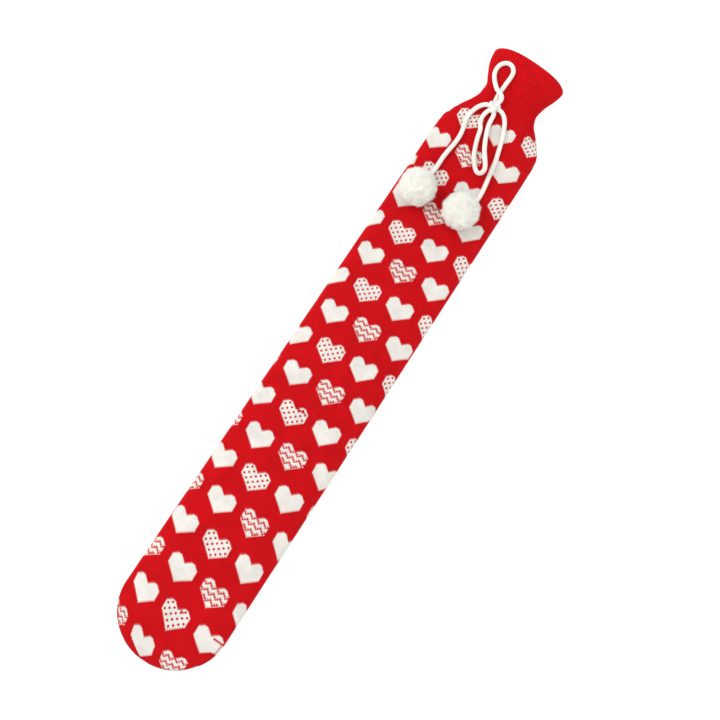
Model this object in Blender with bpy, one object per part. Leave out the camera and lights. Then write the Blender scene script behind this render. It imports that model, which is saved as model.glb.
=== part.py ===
"""A knitted cover for a long hot water bottle, lying on its back, with a cord bow and pompoms.

The cover lies along Y with its collar towards +Y, on a surface at z = 0, +Z up.
It is one hollow piece: a flat tube with a rounded foot and a ribbed, open collar.
Sizes are in millimetres; the meshes and curves are made in metres.
"""

import math
import random
from collections import namedtuple

import bmesh
import bpy
from mathutils import Vector

MM = 0.001

# The cover. Its body is flat underneath, where it lies, and softly crowned on top.
LENGTH = 781.0
BODY_HALF = 60.0
BODY_WAIST = 11.7  # height of the widest line round the body
BODY_RISE = 14.3  # from the waist to the top of the body
BODY_FULLNESS = 3.2
WALL = 2.5
FOOT_DEPTH = 56.0  # length of the half-oval that closes the foot
FOOT_EDGE = 20.0  # the foot's last stretch, where top and underside round together
FOOT_RINGS = 9
RIM_BOW = 5.0  # how far the rim's middle stands beyond its sides
RIM_ROLL = 1.5  # how far the rim swells past the collar's walls
RIB_COUNT = 60
POINTS_ROUND = 2 * RIB_COUNT  # a crest and a furrow for each rib
FINE_STEPS = 720

# The cord, its knot and the pompoms.
CORD = 5.2
CORD_STEP = 1.05 * CORD
SEAT = 0.6  # from the cloth's mean surface to the cord that lies on it
TOUCH = 0.35  # the gap that touching pieces keep
KNOT_SPOT = (-15.4, 316.5)
KNOT_RADIUS = 5.5
KNOT_WRAP = 0.6  # how far the wraps stand out of the knot
KNOT_WRAP_WIDTH = 0.33
KNOT_WRAPS = ((0.9, 0.35, 0.3), (-0.5, 0.8, 0.35), (0.1, 0.5, -0.9))
POMPOM_RADIUS = 21.0
POMPOM_CORE = 14.0
POMPOM_SINK = 2.0  # how far its own weight lowers the ball
POMPOM_CELLS = 4  # locks along each side of each of the six faces of the ball
LOCK_GAP = 0.5  # left free round the root of each lock
LOCK_FLARE = 0.6  # how much wider than its root a full lock is at its tip
LOCK_LEAN = 0.05
LOCK_CROWN = 0.9
BARE_ANGLE = math.radians(24)  # round the cord, where no lock grows

# Cross-sections from the rim of the collar to the foot: where the section lies, its two edges
# seen from above, the waist's height, the rise to the top, the lowest height of the underside,
# how full the oval is (2 an ellipse, 4 nearly a box), how far the middle bows towards the mouth,
# and the height of the ribs.
Section = namedtuple("Section", "y left right waist rise under fullness bow rib")
RIM_Y = LENGTH / 2 - RIM_BOW - RIM_ROLL
COLLAR = (
    Section(RIM_Y, -50.4, 42.0, 17.6, 17.4, 0.8, 2.3, RIM_BOW, 0.7),
    Section(378.0, -49.8, 40.9, 17.5, 17.3, 0.9, 2.3, 4.2, 0.7),
    Section(369.5, -48.2, 38.2, 17.4, 17.0, 1.0, 2.3, 3.0, 0.7),
    Section(355.5, -42.3, 32.9, 17.0, 16.0, 1.5, 2.3, 1.2, 0.7),
    Section(342.5, -36.9, 30.8, 16.5, 15.0, 1.8, 2.3, 0, 0.7),
    Section(331.5, -37.4, 34.0, 15.6, 14.8, 1.4, 2.4, 0, 0.7),
    Section(319.5, -41.7, 44.0, 14.2, 14.5, 0.8, 2.6, 0, 0.6),
    Section(308.5, -48.2, 52.8, 13.0, 14.4, 0.0, 2.8, 0, 0.4),
    Section(297.5, -54.0, 58.4, 12.2, 14.3, 0.0, 3.0, 0, 0.2),
    Section(283.5, -59.2, 59.8, 11.7, 14.3, 0.0, 3.2, 0, 0.0),
)
BODY = tuple(
    Section(y, -BODY_HALF, BODY_HALF, BODY_WAIST, BODY_RISE, 0.0, BODY_FULLNESS, 0, 0)
    for y in (267.5, 65.5, -134.5, FOOT_DEPTH - LENGTH / 2)
)
SECTIONS = COLLAR + BODY

# Each cord's route: x, y and how far it is lifted off the cloth.
# The bow's two loops leave the knot and come back to it; the tails end in the pompoms.
UPPER_LOOP = (
    (-17.9, 325.2, 0.1), (-18.6, 330.6, 0.0), (-18.7, 336.4, 0.0), (-18.5, 342.8, 0.0),
    (-18.2, 349.4, 0.0), (-17.9, 356.2, 0.0), (-18.4, 362.0, 0.0), (-20.7, 366.4, 0.0),
    (-24.5, 369.2, 0.0), (-29.1, 369.6, 0.0), (-33.3, 367.5, 0.0), (-36.1, 363.4, 0.0),
    (-36.8, 358.0, 0.0), (-35.4, 352.2, 0.1), (-31.9, 346.4, 0.6), (-28.0, 340.6, 2.2),
    (-23.8, 335.2, 4.8), (-19.6, 332.4, 6.2), (-16.0, 330.5, 6.4), (-13.5, 327.6, 6.5),
    (-13.0, 324.2, 6.0),
)  # fmt: skip
LOWER_LOOP = (
    (-19.0, 308.3, 0.6), (-20.2, 302.8, 0.0), (-19.9, 297.6, 0.0), (-18.6, 293.4, 0.0),
    (-16.4, 290.0, 0.0), (-14.4, 286.6, 0.0), (-13.0, 281.8, 0.0), (-11.6, 276.2, 0.0),
    (-9.6, 270.0, 0.0), (-7.2, 263.4, 0.0), (-4.2, 256.4, 0.0), (0.4, 249.8, 0.0),
    (5.4, 243.7, 0.1), (9.7, 240.4, 1.9), (13.4, 240.6, 6.2), (14.4, 244.2, 10.5),
    (12.0, 249.1, 12.3), (7.6, 256.0, 11.2), (2.6, 264.8, 7.8), (-1.4, 274.2, 4.0),
    (-4.6, 282.6, 1.4), (-7.5, 290.8, 0.3), (-9.4, 298.2, 0.0), (-10.7, 308.8, 0.6),
)  # fmt: skip
LEFT_TAIL = (
    (-24.4, 314.3, 2.2), (-28.4, 310.9, 1.0), (-31.4, 305.8, 0.2), (-33.3, 299.8, 0.0),
    (-34.2, 293.6, 0.0), (-33.9, 287.2, 0.0), (-32.3, 280.8, 0.0), (-30.4, 273.8, 0.0),
    (-29.4, 266.0, 0.0), (-29.5, 256.9, 0.0), (-30.7, 246.1, 0.0), (-31.7, 235.1, 0.0),
    (-31.6, 225.9, 0.0), (-31.6, 216.9, 0.8), (-32.4, 208.7, 3.2), (-33.7, 201.7, 6.6),
)  # fmt: skip
RIGHT_TAIL = (
    (-6.0, 317.1, 0.4), (-1.0, 314.9, 0.0), (3.7, 309.9, 0.0), (7.5, 303.1, 0.0),
    (11.2, 294.4, 0.0), (13.9, 285.7, 0.0), (16.6, 276.1, 0.0), (19.5, 265.3, 0.0),
    (21.5, 254.9, 0.0), (23.1, 244.5, 0.0), (24.9, 234.1, 0.0), (26.2, 224.1, 0.1),
    (26.4, 215.1, 1.4), (24.7, 206.9, 5.0),
)  # fmt: skip
LEFT_POMPOM = (-37.7, 182.3)
RIGHT_POMPOM = (17.8, 187.2)

RED_WOOL = (0.60, 0.010, 0.016, 1.0)
CREAM_CORD = (0.86, 0.84, 0.78, 1.0)
CREAM_PILE = (0.88, 0.87, 0.82, 1.0)


def clear_scene():
    for thing in list(bpy.data.objects):
        bpy.data.objects.remove(thing, do_unlink=True)


def material(name, colour, roughness):
    mat = bpy.data.materials.new(name)
    mat.use_nodes = True
    shader = mat.node_tree.nodes["Principled BSDF"]
    shader.inputs["Base Color"].default_value = colour
    shader.inputs["Roughness"].default_value = roughness
    shader.inputs["Metallic"].default_value = 0.0
    mat.diffuse_color = colour
    return mat


def place(name, data, mat):
    data.materials.append(mat)
    piece = bpy.data.objects.new(name, data)
    bpy.context.collection.objects.link(piece)
    return piece


def place_bmesh(name, bm, mat):
    bmesh.ops.recalc_face_normals(bm, faces=bm.faces)
    bmesh.ops.scale(bm, verts=bm.verts, vec=(MM, MM, MM))
    mesh = bpy.data.meshes.new(name)
    bm.to_mesh(mesh)
    bm.free()
    mesh.shade_smooth()
    return place(name, mesh, mat)


def section_at(y):
    """The cross-section at y, between two rows of the table."""
    for above, below in zip(SECTIONS, SECTIONS[1:]):
        if y >= below.y:
            share = max((above.y - y) / (above.y - below.y), 0.0)
            return Section(*(a + (b - a) * share for a, b in zip(above, below)))
    return SECTIONS[-1]


def foot_section(turn, inset):
    """A section of the half-oval foot, at an angle from 0, where it starts, to a quarter turn."""
    last = SECTIONS[-1]
    depth = FOOT_DEPTH - inset
    edge = FOOT_EDGE - inset
    from_tip = depth * (1 - math.sin(turn))
    rounding = 1.0
    if from_tip < edge:
        rounding = (1 - (1 - from_tip / edge) ** last.fullness) ** (1 / last.fullness)
    side = last.right * math.cos(turn)
    squeeze = side / last.right
    return last._replace(
        y=last.y - depth * math.sin(turn),
        left=-side - inset * (1 - squeeze),
        right=side + inset * (1 - squeeze),
        rise=inset + (last.rise - inset) * rounding,
    )


def oval(section, inset):
    """Evenly spaced points round a section, from the middle of its top."""
    centre = (section.left + section.right) / 2
    half = (section.right - section.left) / 2 - inset
    rise = section.rise - inset
    floor = section.under + inset
    power = 2 / section.fullness
    fine = []
    for step in range(FINE_STEPS + 1):
        turn = 2 * math.pi * step / FINE_STEPS
        across = math.copysign(abs(math.sin(turn)) ** power, math.sin(turn))
        up = math.copysign(abs(math.cos(turn)) ** power, math.cos(turn))
        height = max(section.waist + rise * up, floor)
        fine.append(Vector((centre + half * across, height)))
    travelled = [0.0]
    for a, b in zip(fine, fine[1:]):
        travelled.append(travelled[-1] + (b - a).length)
    points, at = [], 0
    for k in range(POINTS_ROUND):
        target = travelled[-1] * k / POINTS_ROUND
        while travelled[at + 1] < target:
            at += 1
        share = (target - travelled[at]) / max(travelled[at + 1] - travelled[at], 1e-9)
        points.append(fine[at].lerp(fine[at + 1], share))
    ring = []
    for k, point in enumerate(points):
        ahead = points[(k + 1) % POINTS_ROUND] - points[k - 1]
        outward = Vector((-ahead.y, ahead.x)).normalized()
        rib = section.rib / 2 * (1 if k % 2 == 0 else -1) if inset == 0 else 0.0
        spot = point + outward * rib
        bow = section.bow * (1 - abs((spot.x - centre) / (half + inset)) ** 4)
        ring.append(Vector((spot.x, section.y + max(bow, 0.0), spot.y)))
    return ring


def cover_rings(inset):
    """All rings of one skin of the cover, from the rim of the collar to the foot."""
    rings = [oval(section, inset) for section in SECTIONS]
    for k in range(1, FOOT_RINGS):
        turn = math.pi / 2 * k / FOOT_RINGS
        rings.append(oval(foot_section(turn, inset), inset))
    return rings


def knitted_cover():
    """Outer skin, rolled rim and inner skin, closed at the foot and open at the collar."""
    outer, inner = cover_rings(0), cover_rings(WALL)
    rim = [(a + b) / 2 + Vector((0, RIM_ROLL, 0)) for a, b in zip(outer[0], inner[0])]
    bm = bmesh.new()
    loops = [[bm.verts.new(p) for p in ring] for ring in outer[::-1] + [rim] + inner]
    for lower, upper in zip(loops, loops[1:]):
        for k in range(POINTS_ROUND):
            n = (k + 1) % POINTS_ROUND
            bm.faces.new((lower[k], lower[n], upper[n], upper[k]))
    for loop, inset in ((loops[0], 0.0), (loops[-1], WALL)):
        pole = bm.verts.new((0, inset - LENGTH / 2, BODY_WAIST))
        for k in range(POINTS_ROUND):
            bm.faces.new((pole, loop[k], loop[(k + 1) % POINTS_ROUND]))
    return place_bmesh("knitted_cover", bm, material("red_knit", RED_WOOL, 0.95))


def cloth_height(x, y):
    """Height of the top of the cover over a point."""
    section = section_at(y)
    centre, half = (section.left + section.right) / 2, (section.right - section.left) / 2
    t = min(abs((x - centre) / half), 0.999)
    section = section_at(y - section.bow * (1 - t**4))
    return section.waist + section.rise * (1 - t**section.fullness) ** (1 / section.fullness)


def on_cloth(route):
    """The centre line of a cord that lies on the cover along a route."""
    seat = CORD / 2 + SEAT
    return [Vector((x, y, cloth_height(x, y) + seat + lift)) for x, y, lift in route]


def above_cloth(spot, height):
    """The point that far over the top of the cover."""
    return Vector((*spot, cloth_height(*spot) + height))


def leave(centre, radius, towards):
    """The point just off a ball's face on the way to the next point of a route."""
    way = (towards - centre).normalized()
    return centre + way * (radius + TOUCH)


def smooth_path(points, step):
    """A Catmull-Rom curve through the points, read again at even steps."""
    ends = [2 * points[0] - points[1], *points, 2 * points[-1] - points[-2]]
    fine = []
    for p0, p1, p2, p3 in zip(ends, ends[1:], ends[2:], ends[3:]):
        for k in range(20):
            t = k / 20
            fine.append(
                0.5
                * (
                    2 * p1
                    + (p2 - p0) * t
                    + (2 * p0 - 5 * p1 + 4 * p2 - p3) * t**2
                    + (3 * p1 - p0 - 3 * p2 + p3) * t**3
                )
            )
    fine.append(points[-1])
    length = sum((b - a).length for a, b in zip(fine, fine[1:]))
    pieces = round(length / step)
    path, gone, wanted = [fine[0]], 0.0, length / pieces
    for a, b in zip(fine, fine[1:]):
        piece = (b - a).length
        while gone + piece >= wanted and len(path) < pieces:
            path.append(a.lerp(b, (wanted - gone) / piece))
            wanted += length / pieces
        gone += piece
    path.append(fine[-1])
    return path


def cord(name, points, mat):
    """A limp round cord along the points, with flat closed ends."""
    path = smooth_path(points, CORD_STEP)
    curve = bpy.data.curves.new(name, "CURVE")
    curve.dimensions = "3D"
    curve.bevel_depth = CORD / 2 * MM
    curve.bevel_resolution = 3
    curve.use_fill_caps = True
    spline = curve.splines.new("POLY")
    spline.points.add(len(path) - 1)
    for point, spot in zip(spline.points, path):
        point.co = (*spot * MM, 1)
    return place(name, curve, mat)


def bow_cord(name, route, mat, end=None):
    """A cord that leaves the knot along a route, and comes back to it or goes into a pompom."""
    points = on_cloth(route)
    knot = above_cloth(KNOT_SPOT, KNOT_RADIUS + KNOT_WRAP + TOUCH)
    start = leave(knot, KNOT_RADIUS + KNOT_WRAP, points[0])
    if end is None:
        finish = leave(knot, KNOT_RADIUS + KNOT_WRAP, points[-1])
    else:
        finish = leave(end, POMPOM_CORE, points[-1])
    return cord(name, [start, *points, finish], mat)


def cord_knot(mat):
    """The bow's knot: a small ball of cord with three wraps that cross each other."""
    bm = bmesh.new()
    bmesh.ops.create_icosphere(bm, subdivisions=3, radius=1)
    wraps = [Vector(axis).normalized() for axis in KNOT_WRAPS]
    for vert in bm.verts:
        way = vert.co.normalized()
        ridge = max(math.exp(-((way.dot(axis) / KNOT_WRAP_WIDTH) ** 2)) for axis in wraps)
        vert.co = way * (KNOT_RADIUS + KNOT_WRAP * (2 * ridge - 1))
    centre = above_cloth(KNOT_SPOT, KNOT_RADIUS + KNOT_WRAP + TOUCH)
    bmesh.ops.translate(bm, verts=bm.verts, vec=centre)
    return place_bmesh("cord_knot", bm, mat)


def pompom(name, centre, cord_end, seed, mat):
    """A round core with four-sided locks that flare outwards, shorter where they lie on the cloth."""
    chance = random.Random(seed)
    bm = bmesh.new()
    bmesh.ops.create_cube(bm, size=2)
    bmesh.ops.subdivide_edges(bm, edges=bm.edges, cuts=POMPOM_CELLS - 1, use_grid_fill=True)
    for vert in bm.verts:
        even = Vector([math.tan(c * math.pi / 4) for c in vert.co])
        vert.co = even.normalized() * POMPOM_CORE
    entry = cord_end - centre
    growing = [f for f in bm.faces if f.calc_center_median().angle(entry) > BARE_ANGLE]
    bmesh.ops.inset_individual(bm, faces=growing, thickness=LOCK_GAP, use_even_offset=True)
    locks = bmesh.ops.extrude_discrete_faces(bm, faces=growing)["faces"]
    for face in locks:
        grow_lock(face, centre, chance)
    bmesh.ops.poke(bm, faces=locks, offset=LOCK_CROWN, center_mode="MEAN")
    bmesh.ops.translate(bm, verts=bm.verts, vec=centre)
    piece = place_bmesh(name, bm, mat)
    piece.data.set_sharp_from_angle(angle=math.radians(40))
    return piece


def grow_lock(face, centre, chance):
    """Moves a lock's end face out to its tip, or until it would press into the cloth."""
    root = face.calc_center_median()
    lean = Vector([chance.uniform(-LOCK_LEAN, LOCK_LEAN) for _ in range(3)])
    way = (root.normalized() + lean).normalized()
    reach = POMPOM_RADIUS * chance.uniform(0.88, 0.97) - POMPOM_CORE
    while True:
        flare = 1 + LOCK_FLARE * reach / (POMPOM_RADIUS - POMPOM_CORE)
        tips = [root + way * reach + (vert.co - root) * flare for vert in face.verts]
        if min(clearance(tip + centre) for tip in tips) > LOCK_CROWN + SEAT:
            break
        reach *= 0.94
    for vert, tip in zip(face.verts, tips):
        vert.co = tip


def clearance(spot):
    """How far a point is over the cloth."""
    return spot.z - cloth_height(spot.x, spot.y)


def main():
    clear_scene()
    knitted_cover()
    cord_mat = material("cream_cord", CREAM_CORD, 0.9)
    pile_mat = material("cream_pile", CREAM_PILE, 0.95)
    cord_knot(cord_mat)
    bow_cord("upper_loop", UPPER_LOOP, cord_mat)
    bow_cord("lower_loop", LOWER_LOOP, cord_mat)
    for side, route, spot, seed in (
        ("left", LEFT_TAIL, LEFT_POMPOM, 3),
        ("right", RIGHT_TAIL, RIGHT_POMPOM, 8),
    ):
        centre = above_cloth(spot, POMPOM_RADIUS - POMPOM_SINK)
        bow_cord("tail_" + side, route, cord_mat, end=centre)
        pompom("pompom_" + side, centre, on_cloth(route)[-1], seed, pile_mat)


main()
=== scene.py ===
"""Looks of a knitted cover for a long hot water bottle, lying on its back, with a bow and pompoms.

Everything is in metres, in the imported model's frame: the cover lies along Y with its collar
towards +Y, on a floor at z = 0.
"""

import math
import random

import bmesh
import bpy
import numpy as np
from mathutils import Matrix, Vector, noise


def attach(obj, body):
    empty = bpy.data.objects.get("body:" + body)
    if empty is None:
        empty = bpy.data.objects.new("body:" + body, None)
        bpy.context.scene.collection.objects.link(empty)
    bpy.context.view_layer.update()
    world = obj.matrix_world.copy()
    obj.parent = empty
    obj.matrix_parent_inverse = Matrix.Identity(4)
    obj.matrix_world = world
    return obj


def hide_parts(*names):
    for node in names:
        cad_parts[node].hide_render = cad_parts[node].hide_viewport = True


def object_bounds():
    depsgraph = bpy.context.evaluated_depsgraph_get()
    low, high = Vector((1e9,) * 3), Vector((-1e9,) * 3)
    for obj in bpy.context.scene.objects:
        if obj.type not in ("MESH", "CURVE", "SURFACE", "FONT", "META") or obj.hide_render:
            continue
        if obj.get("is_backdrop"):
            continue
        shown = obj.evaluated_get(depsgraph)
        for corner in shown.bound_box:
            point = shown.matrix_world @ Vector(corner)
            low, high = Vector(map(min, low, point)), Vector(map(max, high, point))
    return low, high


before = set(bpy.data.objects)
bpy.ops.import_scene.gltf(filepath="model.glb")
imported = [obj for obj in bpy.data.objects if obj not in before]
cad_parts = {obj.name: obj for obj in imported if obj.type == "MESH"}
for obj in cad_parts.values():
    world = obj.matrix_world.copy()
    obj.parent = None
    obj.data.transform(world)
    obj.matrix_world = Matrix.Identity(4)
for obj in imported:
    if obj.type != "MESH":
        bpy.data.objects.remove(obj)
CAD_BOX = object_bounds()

# --- Knitted cover ---
# One tube of two-colour machine knit, 120 stitches round: red wool with white hearts in rows.
# Its collar is knitted on in 1x1 rib and ends in a soft rolled rim. Its foot is rounded and closed
# by a linked seam, which cuts the hearts off. It is empty, because the bottle is left out.

MM = 0.001
STITCHES_ROUND = 120
COLUMNS = 2 * STITCHES_ROUND  # of faces: two for each stitch, so that each wale is a low ridge
WALL = 2.5 * MM
FOOT_DEPTH = 56 * MM
FOOT_EDGE = 20 * MM
FOOT_RINGS = 30
FOOT_END = -390.5 * MM
SEAM_ACROSS = 0.962  # where the seam runs, as a share of the foot's half width
RIM_CURL_RINGS = 5
OUTLINE_POINTS = 1441
SLOPE_REACH = 0.4 * MM  # the skin's outward way is read this far to each side

# In millimetres: y, left, right, waist, rise, underside, fullness (no unit), bow, rib height.
SECTIONS = np.array([
    (383.6, -50.3, 41.9, 17.6, 17.4, 0.8, 2.3, 4.6, 0.9),
    (378, -49.8, 40.9, 17.5, 17.3, 0.9, 2.3, 4.2, 0.9),
    (369.5, -48.2, 38.2, 17.4, 17, 1, 2.3, 3, 0.9),
    (355.5, -42.3, 32.9, 17, 16, 1.5, 2.3, 1.2, 0.9),
    (342.5, -36.9, 30.8, 16.5, 15, 1.8, 2.3, 0, 0.9),
    (331.5, -37.4, 34, 15.6, 14.8, 1.4, 2.4, 0, 0.9),
    (319.5, -41.7, 44, 14.2, 14.5, 0.8, 2.6, 0, 0.8),
    (308.5, -48.2, 52.8, 13, 14.4, 0, 2.8, 0, 0.6),
    (297.5, -54, 58.4, 12.2, 14.3, 0, 3, 0, 0.3),
    (283.5, -59.2, 59.8, 11.7, 14.3, 0, 3.2, 0, 0),
    (267.5, -60, 60, 11.7, 14.3, 0, 3.2, 0, 0),
    (65.5, -60, 60, 11.7, 14.3, 0, 3.2, 0, 0),
    (-334.5, -60, 60, 11.7, 14.3, 0, 3.2, 0, 0),
])[::-1]
Y, LEFT, RIGHT, WAIST, RISE, UNDER, FULLNESS, BOW, RIB = range(9)
SECTIONS[:, [Y, LEFT, RIGHT, WAIST, RISE, UNDER, BOW, RIB]] *= MM
FOOT_START = SECTIONS[0, Y]
RIM = SECTIONS[-1, Y]


def gradual(value, start, end):
    """0 before start, 1 after end, smooth between them."""
    t = np.clip((value - start) / (end - start), 0, 1)
    return t * t * (3 - 2 * t)


def smooth(rows):
    """A function that reads a table at y, on smooth curves through its rows, which start with y."""
    steps = np.diff(rows[:, 0])
    secants = np.diff(rows, axis=0) / steps[:, None]
    product = secants[:-1] * secants[1:]
    slopes = np.vstack([secants[:1], np.zeros_like(product), secants[-1:]])
    rising = product > 0
    slopes[1:-1][rising] = (2 * product / np.where(rising, secants[:-1] + secants[1:], 1))[rising]

    def read(y):
        k = np.clip(np.searchsorted(rows[:, 0], y) - 1, 0, len(steps) - 1)
        step = np.asarray(steps[k])[..., None]
        t = np.clip((np.asarray(y)[..., None] - rows[k, :1]) / step, 0, 1)
        return (
            (1 + 2 * t) * (1 - t) ** 2 * rows[k]
            + t * (1 - t) ** 2 * step * slopes[k]
            + t * t * (3 - 2 * t) * rows[k + 1]
            - t * t * (1 - t) * step * slopes[k + 1]
        )

    return read


section_at = smooth(SECTIONS)  # the cover's cross-section at y


def foot_section(turn, inset):
    """The cross-section of the half-oval foot at a turn from 0 to a quarter, and its y."""
    section = section_at(FOOT_START).copy()
    depth, edge = FOOT_DEPTH - inset, FOOT_EDGE - inset
    from_tip = depth * (1 - math.sin(turn))
    rounding = 1.0
    if from_tip < edge:
        n = section[FULLNESS]
        rounding = (1 - (1 - from_tip / edge) ** n) ** (1 / n)
    squeeze = math.cos(turn)
    side = section[RIGHT] * squeeze + inset * (1 - squeeze)
    section[[Y, LEFT, RIGHT]] = FOOT_START - depth * math.sin(turn), -side, side
    section[RISE] = inset + (section[RISE] - inset) * rounding
    return section


def centre_and_half(section):
    """Where the middle of a section lies across, and half its width."""
    return (section[LEFT] + section[RIGHT]) / 2, (section[RIGHT] - section[LEFT]) / 2


def outline(section, inset):
    """Fine points round a section as rows of arc length, x and z.

    The arc length is 0 at the middle of the top, and grows towards +X.
    """
    turns = np.linspace(-math.pi, math.pi, OUTLINE_POINTS)
    centre, half = centre_and_half(section)
    power = 2 / section[FULLNESS]
    across, up = np.sin(turns), np.cos(turns)
    x = centre + (half - inset) * np.sign(across) * np.abs(across) ** power
    z = section[WAIST] + (section[RISE] - inset) * np.sign(up) * np.abs(up) ** power
    z = np.maximum(z, section[UNDER] + inset)
    arc = np.concatenate([[0], np.cumsum(np.hypot(np.diff(x), np.diff(z)))])
    return np.array([arc - arc[len(arc) // 2], x, z])


def on_ring(ring, arcs):
    """x and z at arc lengths on an outline."""
    return [np.interp(arcs, ring[0], ring[n]) for n in (1, 2)]


def unit(vectors):
    """The vectors at a length of 1."""
    return vectors / np.linalg.norm(vectors, axis=-1, keepdims=True)


def unevenness(x, y):
    """How far the empty, once filled cloth swells or sinks at a point of its top."""
    swell = (
        np.sin(x * 71 + y * 23 + 0.6) * np.sin(y * 41 - 1.1)
        + 0.7 * np.sin(x * 112 - y * 63 + 2.0)
        + 0.5 * np.sin(x * 38 + y * 127 + 4.0)
    )
    return 0.22 * MM * swell


# How the hearts' grid of stitches lies on the cloth. Column 0 of the grid starts left of the
# middle and drifts to the right towards the foot. Courses are counted from the foot of the collar.
def wale_start(course):
    return (-11.3 + 0.0868 * course) * MM


def wale_pitch(course):
    return (1.99 + 0.000257 * course) * MM


def course_slope(course):
    return np.where(course < 0, 0.187 * (1 + course / 53), 0.187 - 0.000705 * course)


# The real cloth is pulled a little out of that grid. Each row holds y, then how far the knit is
# moved along X at the left edge, in the middle and at the right edge, and the same along Y.
PULLED_EDGE = 48 * MM  # how far the edges' pulls are from the middle
PULLS = MM * np.array([
    (-392, 40, 10, -3, 5, -1.5, 3.5),
    (-375, 9.5, 4, -2.5, 7, -5, 8),
    (-358, 7.5, 1.5, 0.5, 2, -4.5, 1.5),
    (-335, 4, 1, 2.5, 1, -2, -2),
    (-295, 1, 1.5, 1.5, 0, -1.8, -2.5),
    (-256, 0.5, 1, 1, 0, -1.5, -2),
    (-216, 0, 0.5, 0.5, -0.5, -1, -1.5),
    (-160, -0.5, 0, 0.5, -1, -1.5, 0.5),
    (-98, -0.4, -0.4, -1, -0.5, -1.5, 1),
    (-40, -0.4, -0.2, -1, -1, -1, 1),
    (20, 0, -0.5, -0.5, 1, 0, 0),
    (58, 0.5, 0.5, 0.5, 1.5, -0.5, -1),
    (97, 1.5, 1, 1.5, 2, -1, -1),
    (135, 1, 1.5, 2, 2.5, -1.5, -1.5),
    (174, 1.5, 1, 2, 4, -1.5, -0.5),
    (213, -1.2, 1.5, 2.4, 5.7, -1.8, 0.2),
    (232, -2.6, 1, 4.8, 5.6, -0.3, 0.8),
    (246, -2, 0.8, 5.6, 6.2, 0.8, 4),
    (256, -0.7, 0.5, 5.8, 6.8, -1.2, 2.6),
    (266, -0.3, 0.4, 5, 7.5, 1, 2.5),
    (274, 0, 0.2, 4, 8, 1.3, 3.8),
    (290, 0.5, -0.5, -2, 8.5, 1.5, 5.8),
])
pulls_at = smooth(PULLS)


def pull_at(x, y):
    """How far the cloth is pulled out of the even grid at a point, along X and along Y."""
    pull = pulls_at(y)
    t = np.clip(x / PULLED_EDGE, -1.25, 1.25)
    left, middle, right = t * (t - 1) / 2, 1 - t * t, t * (t + 1) / 2
    along_x = left * pull[..., 1] + middle * pull[..., 2] + right * pull[..., 3]
    return along_x, left * pull[..., 4] + middle * pull[..., 5] + right * pull[..., 6]


def course_at(x, y):
    """The course that passes through a point, found by Newton's method."""
    pull_x, pull_y = pull_at(x, y)
    x, y = x - pull_x, y - pull_y
    course = (0.3008 - y) / (1.58 * MM)
    for _ in range(5):
        slope = course_slope(course)
        beside = x - wale_start(course)
        there = (300.8 - 1.58 * course - 0.000128 * course**2) * MM + slope * beside
        rate = (-1.58 - 0.000256 * course - 0.0868 * slope) * MM - 0.0007 * beside
        course = course - (there - y) / rate
    return course


EVEN_HALF = 55 * MM  # the wales are a true pitch apart this far to each side of the top's middle
COLLAR_FROM, COLLAR_TO = 290 * MM, 316 * MM  # where the body's wales run into the collar's ribs


def wale_at(arc, x, y, half_round, course=None):
    """The wale that passes through a point of the tube."""
    course = course_at(x, y) if course is None else course
    pitch = wale_pitch(course)
    inner = np.clip(arc, -EVEN_HALF, EVEN_HALF)
    spread = (STITCHES_ROUND / 2 - EVEN_HALF / pitch) / (half_round - EVEN_HALF)
    on_body = (inner - pull_at(x, y)[0] - wale_start(course)) / pitch + (arc - inner) * spread
    on_collar = arc / half_round * STITCHES_ROUND / 2 - wale_start(0) / wale_pitch(0)
    return on_body + (on_collar - on_body) * gradual(y, COLLAR_FROM, COLLAR_TO)


def bowed(section, x, y):
    """y moved by the bow of the rim's middle towards the mouth."""
    centre, half = centre_and_half(section)
    return y + section[BOW] * np.clip(1 - np.abs((x - centre) / half) ** 4, 0, 1)


def seam_arc(ring):
    """The arc length at the foot's seam, where the top's edge starts to turn down."""
    arc, x, _ = ring
    right = arc > 0
    share = (x[right] / x.max())[: right.sum() // 2]
    return float(np.interp(SEAM_ACROSS, share, arc[right][: right.sum() // 2]))


NUMBERS = np.arange(COLUMNS) / 2 - STITCHES_ROUND / 2  # the wale of each column of vertices


def wale_columns(section):
    """Where the wales cross a section of the body or the collar: arc lengths by column."""
    arc, x, z = outline(section, 0)
    half_round = arc[-1]
    wales = wale_at(arc, x, bowed(section, x, section[Y]), half_round)
    wanted = NUMBERS + STITCHES_ROUND * np.ceil((wales[0] - NUMBERS) / STITCHES_ROUND)
    return np.interp(wanted, wales, arc)


# The foot's columns of faces: the top panel's run from seam to seam, and the underside's too.
foot_outline = outline(section_at(FOOT_START), 0)
BODY_HALF_ROUND = foot_outline[0, -1]
foot_arcs = wale_columns(section_at(FOOT_START))
FOOT_SEAM_ARC = seam_arc(foot_outline)
LEFT_SEAM = int(np.argmin(np.abs(foot_arcs + FOOT_SEAM_ARC)))
RIGHT_SEAM = int(np.argmin(np.abs(foot_arcs - FOOT_SEAM_ARC)))
left_arc, right_arc = foot_arcs[LEFT_SEAM], foot_arcs[RIGHT_SEAM]
on_top = (foot_arcs >= left_arc) & (foot_arcs <= right_arc)
top_share = np.interp(foot_arcs, [left_arc, right_arc], [-1, 1])
whole_round = 2 * BODY_HALF_ROUND
round_arcs = np.where(foot_arcs > left_arc, foot_arcs, foot_arcs + whole_round)
under_share = np.interp(round_arcs, [right_arc, left_arc + whole_round], [0, 1])


def foot_columns(ring):
    """The arc lengths of the columns on a section of the foot."""
    half_round, seam = ring[0, -1], seam_arc(ring)
    under = seam + under_share * 2 * (half_round - seam)
    under = np.where(under > half_round, under - 2 * half_round, under)
    return np.where(on_top, top_share * seam, under)


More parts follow.
